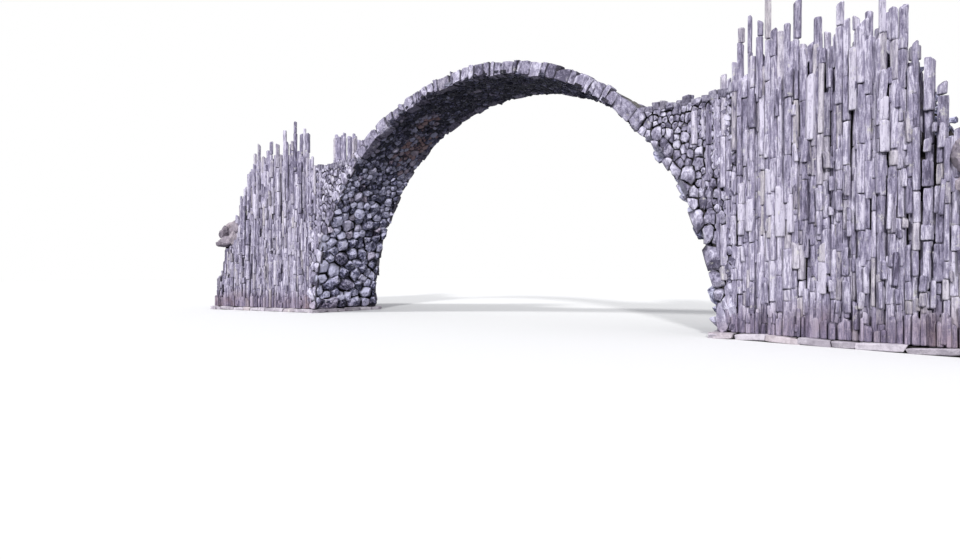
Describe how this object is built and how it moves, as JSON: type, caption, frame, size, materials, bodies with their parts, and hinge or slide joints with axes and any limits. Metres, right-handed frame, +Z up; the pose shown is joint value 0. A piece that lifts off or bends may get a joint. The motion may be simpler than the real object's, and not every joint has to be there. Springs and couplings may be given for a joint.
{
  "type": "moon bridge",
  "caption": "Slender half-round stone footbridge with stepped way, rubble barrel, radial edge stones and abutments faced with upright basalt columns.",
  "frame": {"origin": "on the waterline under the middle of the arch, which is the centre of the arch's half circle", "axes": "+X along the bridge, +Y across it away from the near face, +Z up"},
  "size_m": [35.3, 7.3, 10.731],
  "materials": {
    "rubble": "matte",
    "edge_stone": "matte",
    "basalt": "matte",
    "paving": "matte",
    "plinth_stone": "matte",
    "boulder": "matte"
  },
  "bodies": {
    "root": {"right_springer": "rubble", "right_haunch": "rubble", "crown_barrel": "rubble", "left_haunch": "rubble", "left_springer": "rubble", "left_near_edge": "edge_stone", "left_far_edge": "edge_stone", "crown_near_edge": "edge_stone", "crown_far_edge": "edge_stone", "right_near_edge": "edge_stone", "right_far_edge": "edge_stone", "crown_paving": "paving", "left_arch_steps": "paving", "left_landing": "paving", "left_flight": "paving", "left_core": "rubble", "left_plinth": "plinth_stone", "left_end_columns": "basalt", "left_boulders": "boulder", "left_near_spandrel": "rubble", "left_near_wing": "rubble", "left_near_columns": "basalt", "left_far_spandrel": "rubble", "left_far_wing": "rubble", "left_far_columns": "basalt", "right_arch_steps": "paving", "right_landing": "paving", "right_flight": "paving", "right_core": "rubble", "right_plinth": "plinth_stone", "right_end_columns": "basalt", "right_boulders": "boulder", "right_near_spandrel": "rubble", "right_near_wing": "rubble", "right_near_columns": "basalt", "right_far_spandrel": "rubble", "right_far_wing": "rubble", "right_far_columns": "basalt"}
  },
  "joints": []
}
